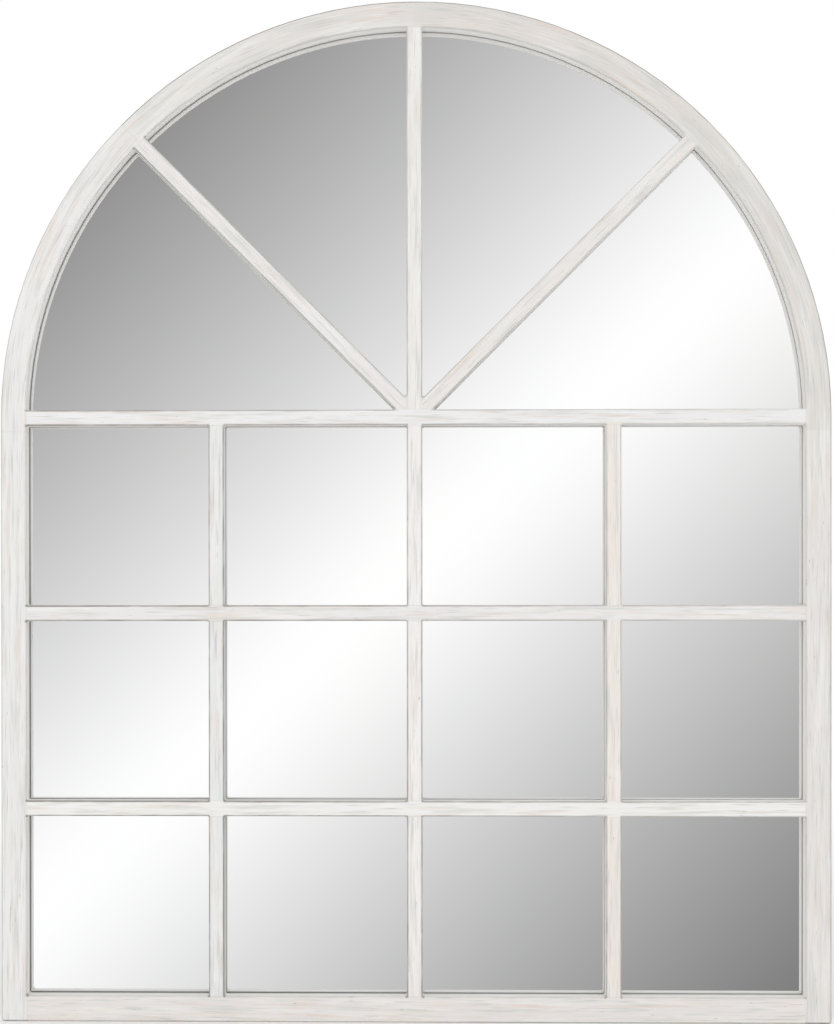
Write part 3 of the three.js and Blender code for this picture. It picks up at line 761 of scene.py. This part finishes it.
def hardboard():
    """Hardboard: warm brown with a felt of lighter and darker fibres 2 to 4 mm long, and a dull sheen."""
    material, tree = finish("smooth_hardboard")
    place = add(tree, "ShaderNodeTexCoord", {}, {})
    fibres = add(
        tree,
        "ShaderNodeTexNoise",
        {},
        {"Vector": place.outputs["Object"], "Scale": 350, "Detail": 4, "Distortion": 1.2},
    )
    cloud = add(
        tree, "ShaderNodeTexNoise", {}, {"Vector": place.outputs["Object"], "Scale": 9, "Detail": 3}
    )
    felt = add(
        tree, "ShaderNodeMixRGB", {}, {"Fac": fibres, "Color1": linear("6F5037"), "Color2": linear("A07B57")}
    )
    colour = add(
        tree,
        "ShaderNodeMixRGB",
        {"blend_type": "MULTIPLY"},
        {
            "Fac": add(tree, "ShaderNodeMapRange", {}, {"Value": cloud, "From Min": 0.3, "From Max": 0.7}),
            "Color1": felt,
            "Color2": linear("E6DED6"),
        },
    )
    roughness = add(tree, "ShaderNodeMapRange", {}, {"Value": fibres, "To Min": 0.45, "To Max": 0.62})
    relief = add(tree, "ShaderNodeBump", {}, {"Height": fibres, "Strength": 0.15, "Distance": 0.1 * MM})
    shader = add(
        tree,
        "ShaderNodeBsdfPrincipled",
        {},
        {"Base Color": colour, "Roughness": roughness, "Normal": relief, "IOR": 1.5},
    )
    add(tree, "ShaderNodeOutputMaterial", {}, {"Surface": shader})
    return material


coat("back_board", hardboard())


# ---------------------------------------------------------------- screws and ring hangers
# Steel, zinc plated bright: eleven pan-head screws in the board, and two stamped straps whose rolled
# knuckles hold a bent wire ring each. Two more screws fix each strap.


def zinc_plate():
    """Bright zinc plate: cool silver with a faint blue, slightly uneven from the bath and lightly handled."""
    material, tree = finish("bright_zinc_plated_steel")
    place = add(tree, "ShaderNodeTexCoord", {}, {})
    bath = add(
        tree, "ShaderNodeTexNoise", {}, {"Vector": place.outputs["Object"], "Scale": 260, "Detail": 3}
    )
    colour = add(
        tree, "ShaderNodeMixRGB", {}, {"Fac": bath, "Color1": linear("C9CED2"), "Color2": linear("E2E4E5")}
    )
    roughness = add(tree, "ShaderNodeMapRange", {}, {"Value": bath, "To Min": 0.22, "To Max": 0.42})
    relief = add(tree, "ShaderNodeBump", {}, {"Height": bath, "Strength": 0.1, "Distance": 0.05 * MM})
    shader = add(
        tree,
        "ShaderNodeBsdfPrincipled",
        {},
        {"Base Color": colour, "Metallic": 1.0, "Roughness": roughness, "Normal": relief},
    )
    add(tree, "ShaderNodeOutputMaterial", {}, {"Surface": shader})
    return material


zinc = zinc_plate()
for number in range(1, 12):
    coat(f"board_screw_{number:02d}", zinc)
for side in ("left", "right"):
    coat("hanger_strap_" + side, zinc)
    coat("hanger_ring_" + side, zinc)
    coat(f"hanger_screw_{side}_1", zinc)
    coat(f"hanger_screw_{side}_2", zinc)


# ---------------------------------------------------------------- wall bumpers
# Two small buttons of black rubber, each moulded in one piece with a slight taper. They are stuck on the
# board at the bottom corners and keep the frame off the wall.


def moulded_rubber():
    """Black moulded rubber: charcoal, fine grained and matt, with a little grey dust."""
    material, tree = finish("black_moulded_rubber")
    place = add(tree, "ShaderNodeTexCoord", {}, {})
    dust = add(
        tree, "ShaderNodeTexNoise", {}, {"Vector": place.outputs["Object"], "Scale": 500, "Detail": 4}
    )
    colour = add(
        tree, "ShaderNodeMixRGB", {}, {"Fac": dust, "Color1": linear("202122"), "Color2": linear("3A3B3B")}
    )
    roughness = add(tree, "ShaderNodeMapRange", {}, {"Value": dust, "To Min": 0.7, "To Max": 0.9})
    relief = add(tree, "ShaderNodeBump", {}, {"Height": dust, "Strength": 0.3, "Distance": 0.1 * MM})
    shader = add(
        tree,
        "ShaderNodeBsdfPrincipled",
        {},
        {"Base Color": colour, "Roughness": roughness, "Normal": relief, "IOR": 1.52},
    )
    add(tree, "ShaderNodeOutputMaterial", {}, {"Surface": shader})
    return material


rubber = moulded_rubber()
coat("bumper_left", rubber)
coat("bumper_right", rubber)


# ---------------------------------------------------------------- studio
# A white room with soft light from all round, a little more from above, and one large lamp low in front.
# What the mirror and the metal see is the room's paper sweep, bright along one diagonal and grey beside it.

ROOM_LIGHT = 0.955
ROOM_LIGHT_RISE = 0.03
FLOOR_SIZE = 14.0
FLOOR_FADE = (0.9, 2.6)  # metres from the middle of the mirror, over which it turns into the white room
FAR_FLOOR_LIGHT = 0.86  # what it gives the object: as much as the floor near it, so that it is lit evenly

floor_mesh = bmesh.new()
bmesh.ops.create_grid(floor_mesh, x_segments=8, y_segments=8, size=FLOOR_SIZE / 2)
bmesh.ops.translate(floor_mesh, verts=floor_mesh.verts, vec=(0, 0, foot_z))


def pale_floor():
    """Matt white vinyl sweep: it takes the object's shadow and fades into the white room further off."""
    material, tree = finish("matt_white_vinyl_floor")
    place = add(tree, "ShaderNodeTexCoord", {}, {})
    texture = add(
        tree, "ShaderNodeTexNoise", {}, {"Vector": place.outputs["Object"], "Scale": 30, "Detail": 3}
    )
    colour = add(
        tree, "ShaderNodeMixRGB", {}, {"Fac": texture, "Color1": linear("F5F4F3"), "Color2": linear("F9F8F7")}
    )
    vinyl = add(
        tree, "ShaderNodeBsdfPrincipled", {}, {"Base Color": colour, "Roughness": 0.8, "IOR": 1.5}
    )
    ray = add(tree, "ShaderNodeLightPath", {}, {})
    mirrored = add(
        tree,
        "ShaderNodeMath",
        {"operation": "MAXIMUM"},
        {0: ray.outputs["Is Glossy Ray"], 1: ray.outputs["Is Transmission Ray"]},
    )
    seen = add(
        tree, "ShaderNodeMath", {"operation": "MAXIMUM"}, {0: ray.outputs["Is Camera Ray"], 1: mirrored}
    )
    glow = add(tree, "ShaderNodeMapRange", {}, {"Value": seen, "To Min": FAR_FLOOR_LIGHT, "To Max": 1.0})
    white = add(tree, "ShaderNodeEmission", {}, {"Color": (1, 1, 1, 1), "Strength": glow})
    near, far = FLOOR_FADE
    distance = add(tree, "ShaderNodeVectorMath", {"operation": "LENGTH"}, {0: place.outputs["Object"]})
    fade = add(
        tree,
        "ShaderNodeMapRange",
        {"interpolation_type": "SMOOTHSTEP"},
        {"Value": distance.outputs["Value"], "From Min": near, "From Max": far},
    )
    shader = add(tree, "ShaderNodeMixShader", {}, {0: fade, 1: vinyl, 2: white})
    add(tree, "ShaderNodeOutputMaterial", {}, {"Surface": shader})
    return material


floor = piece_from("studio_floor", floor_mesh, pale_floor())
floor.visible_glossy = False

room = bpy.data.worlds.new("white_room")
room.use_nodes = True
bpy.context.scene.world = room
sky = room.node_tree
sky.nodes.clear()
way = add(sky, "ShaderNodeTexCoord", {}, {}).outputs["Generated"]
height = add(sky, "ShaderNodeSeparateXYZ", {}, {0: way}).outputs["Z"]
room_light = add(
    sky,
    "ShaderNodeMapRange",
    {},
    {
        "Value": height,
        "From Min": -1.0,
        "From Max": 1.0,
        "To Min": ROOM_LIGHT - ROOM_LIGHT_RISE,
        "To Max": ROOM_LIGHT + ROOM_LIGHT_RISE,
    },
)
# The paper sweep: from its bright ridge the tone falls off evenly to both sides, then rises again.
SWEEP_WAY = (1.0, 0.0, -1.08)
RIDGE_SHIFT = 0.0135
SWEEP_WIDTH = 0.47
RIDGE_ROUND = 0.0016
RIDGE_TONE = 1.085
TONE_FALL = -1.36
SCREEN_GAMMA = 2.2
diagonal = add(sky, "ShaderNodeVectorMath", {"operation": "DOT_PRODUCT"}, {0: way, 1: SWEEP_WAY})
from_ridge = add(sky, "ShaderNodeMath", {"operation": "ADD"}, {0: diagonal.outputs["Value"], 1: RIDGE_SHIFT})
fold = add(sky, "ShaderNodeMath", {"operation": "PINGPONG"}, {0: from_ridge, 1: SWEEP_WIDTH})
squared = add(sky, "ShaderNodeMath", {"operation": "MULTIPLY_ADD"}, {0: fold, 1: fold, 2: RIDGE_ROUND})
rounded = add(sky, "ShaderNodeMath", {"operation": "SQRT"}, {0: squared})
tone = add(sky, "ShaderNodeMath", {"operation": "MULTIPLY_ADD"}, {0: rounded, 1: TONE_FALL, 2: RIDGE_TONE})
sweep = add(sky, "ShaderNodeMath", {"operation": "POWER"}, {0: tone, 1: SCREEN_GAMMA})
ray = add(sky, "ShaderNodeLightPath", {}, {})
mirrored = add(
    sky,
    "ShaderNodeMath",
    {"operation": "MAXIMUM"},
    {0: ray.outputs["Is Glossy Ray"], 1: ray.outputs["Is Transmission Ray"]},
)
# Wood that is lit by way of the mirror gets the room's light, so that the sides of the bars are bright too.
first = add(sky, "ShaderNodeMath", {"operation": "LESS_THAN"}, {0: ray.outputs["Diffuse Depth"], 1: 0.5})
looked_at = add(sky, "ShaderNodeMath", {"operation": "MULTIPLY"}, {0: mirrored, 1: first})
lit = add(sky, "ShaderNodeMixRGB", {}, {"Fac": looked_at, "Color1": room_light, "Color2": sweep})
seen = add(
    sky,
    "ShaderNodeMixRGB",
    {},
    {"Fac": ray.outputs["Is Camera Ray"], "Color1": lit, "Color2": (1.0, 1.0, 1.0, 1.0)},
)
background = add(sky, "ShaderNodeBackground", {}, {"Color": seen, "Strength": 1.0})
add(sky, "ShaderNodeOutputWorld", {}, {"Surface": background})

SOFTBOX_WIDE = 3.0
SOFTBOX_HIGH = 2.4
SOFTBOX_WATTS = 24
SOFTBOX_PLACE = Vector((-0.5, -3.6, -0.9))
softbox = bpy.data.lights.new("softbox", "AREA")
softbox.shape = "RECTANGLE"
softbox.size = SOFTBOX_WIDE
softbox.size_y = SOFTBOX_HIGH
softbox.energy = SOFTBOX_WATTS
softbox_stand = bpy.data.objects.new("softbox", softbox)
bpy.context.scene.collection.objects.link(softbox_stand)
softbox_stand.location = SOFTBOX_PLACE
softbox_stand.rotation_euler = (-SOFTBOX_PLACE).to_track_quat("-Z", "Y").to_euler()
softbox_stand.visible_glossy = False
softbox_stand.visible_camera = False

# The camera stands square on, 2.1 m in front and a little below the middle, as the sides of the bars show.
# Its angles, focal length and shift were fitted to the corners of the panes in the photograph.
IMAGE_WIDE = 834
IMAGE_HIGH = 1024
FOCAL_PIXELS = 1930.1
SQUARE_ON_PIXEL = (380.3, 592.6)
CAMERA_PLACE = (0.0031, face_y - 2.09, -0.1315)
CAMERA_TURN = math.radians(1.104)
CAMERA_TILT = math.radians(-0.231)
CAMERA_ROLL = math.radians(0.042)
lens = bpy.data.cameras.new("camera")
lens.sensor_width = 36
lens.lens = FOCAL_PIXELS * lens.sensor_width / IMAGE_HIGH
lens.shift_x = (IMAGE_WIDE / 2 - SQUARE_ON_PIXEL[0]) / IMAGE_HIGH
lens.shift_y = (SQUARE_ON_PIXEL[1] - IMAGE_HIGH / 2) / IMAGE_HIGH
camera = bpy.data.objects.new("camera", lens)
bpy.context.scene.collection.objects.link(camera)
camera.matrix_world = (
    Matrix.Translation(CAMERA_PLACE)
    @ Matrix.Rotation(CAMERA_TURN, 4, "Z")
    @ Matrix.Rotation(CAMERA_TILT, 4, "X")
    @ Matrix.Rotation(CAMERA_ROLL, 4, "Y")
    @ Matrix.Rotation(math.pi / 2, 4, "X")
)
bpy.context.scene.camera = camera
bpy.context.scene.view_settings.view_transform = "Standard"
